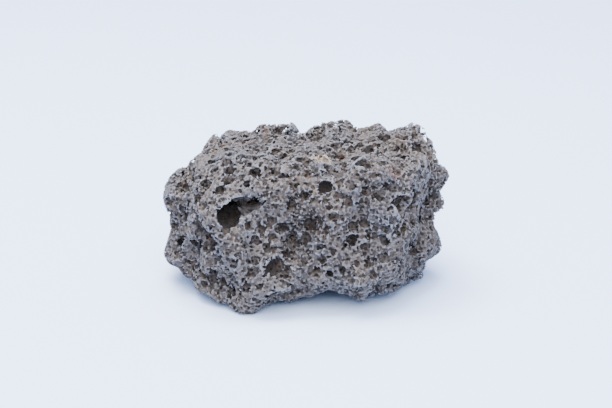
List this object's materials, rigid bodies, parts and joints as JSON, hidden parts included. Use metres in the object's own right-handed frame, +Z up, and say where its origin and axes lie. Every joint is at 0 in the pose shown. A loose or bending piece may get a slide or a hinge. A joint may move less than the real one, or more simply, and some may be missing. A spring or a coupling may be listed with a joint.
{
  "type": "lava rock",
  "caption": "Rough block of grey-brown scoria, riddled with gas bubbles, that stands on low feet under a broken, pitted front.",
  "frame": {"origin": "middle of the bounding box in X and Y, at the height of the soles of the feet", "axes": "+Z up, X along the rock's length, -Y out of its broken front"},
  "size_m": [0.0616, 0.0456, 0.0332],
  "materials": {
    "scoria": "matte"
  },
  "bodies": {
    "root": {"lava_rock": "scoria"}
  },
  "joints": []
}
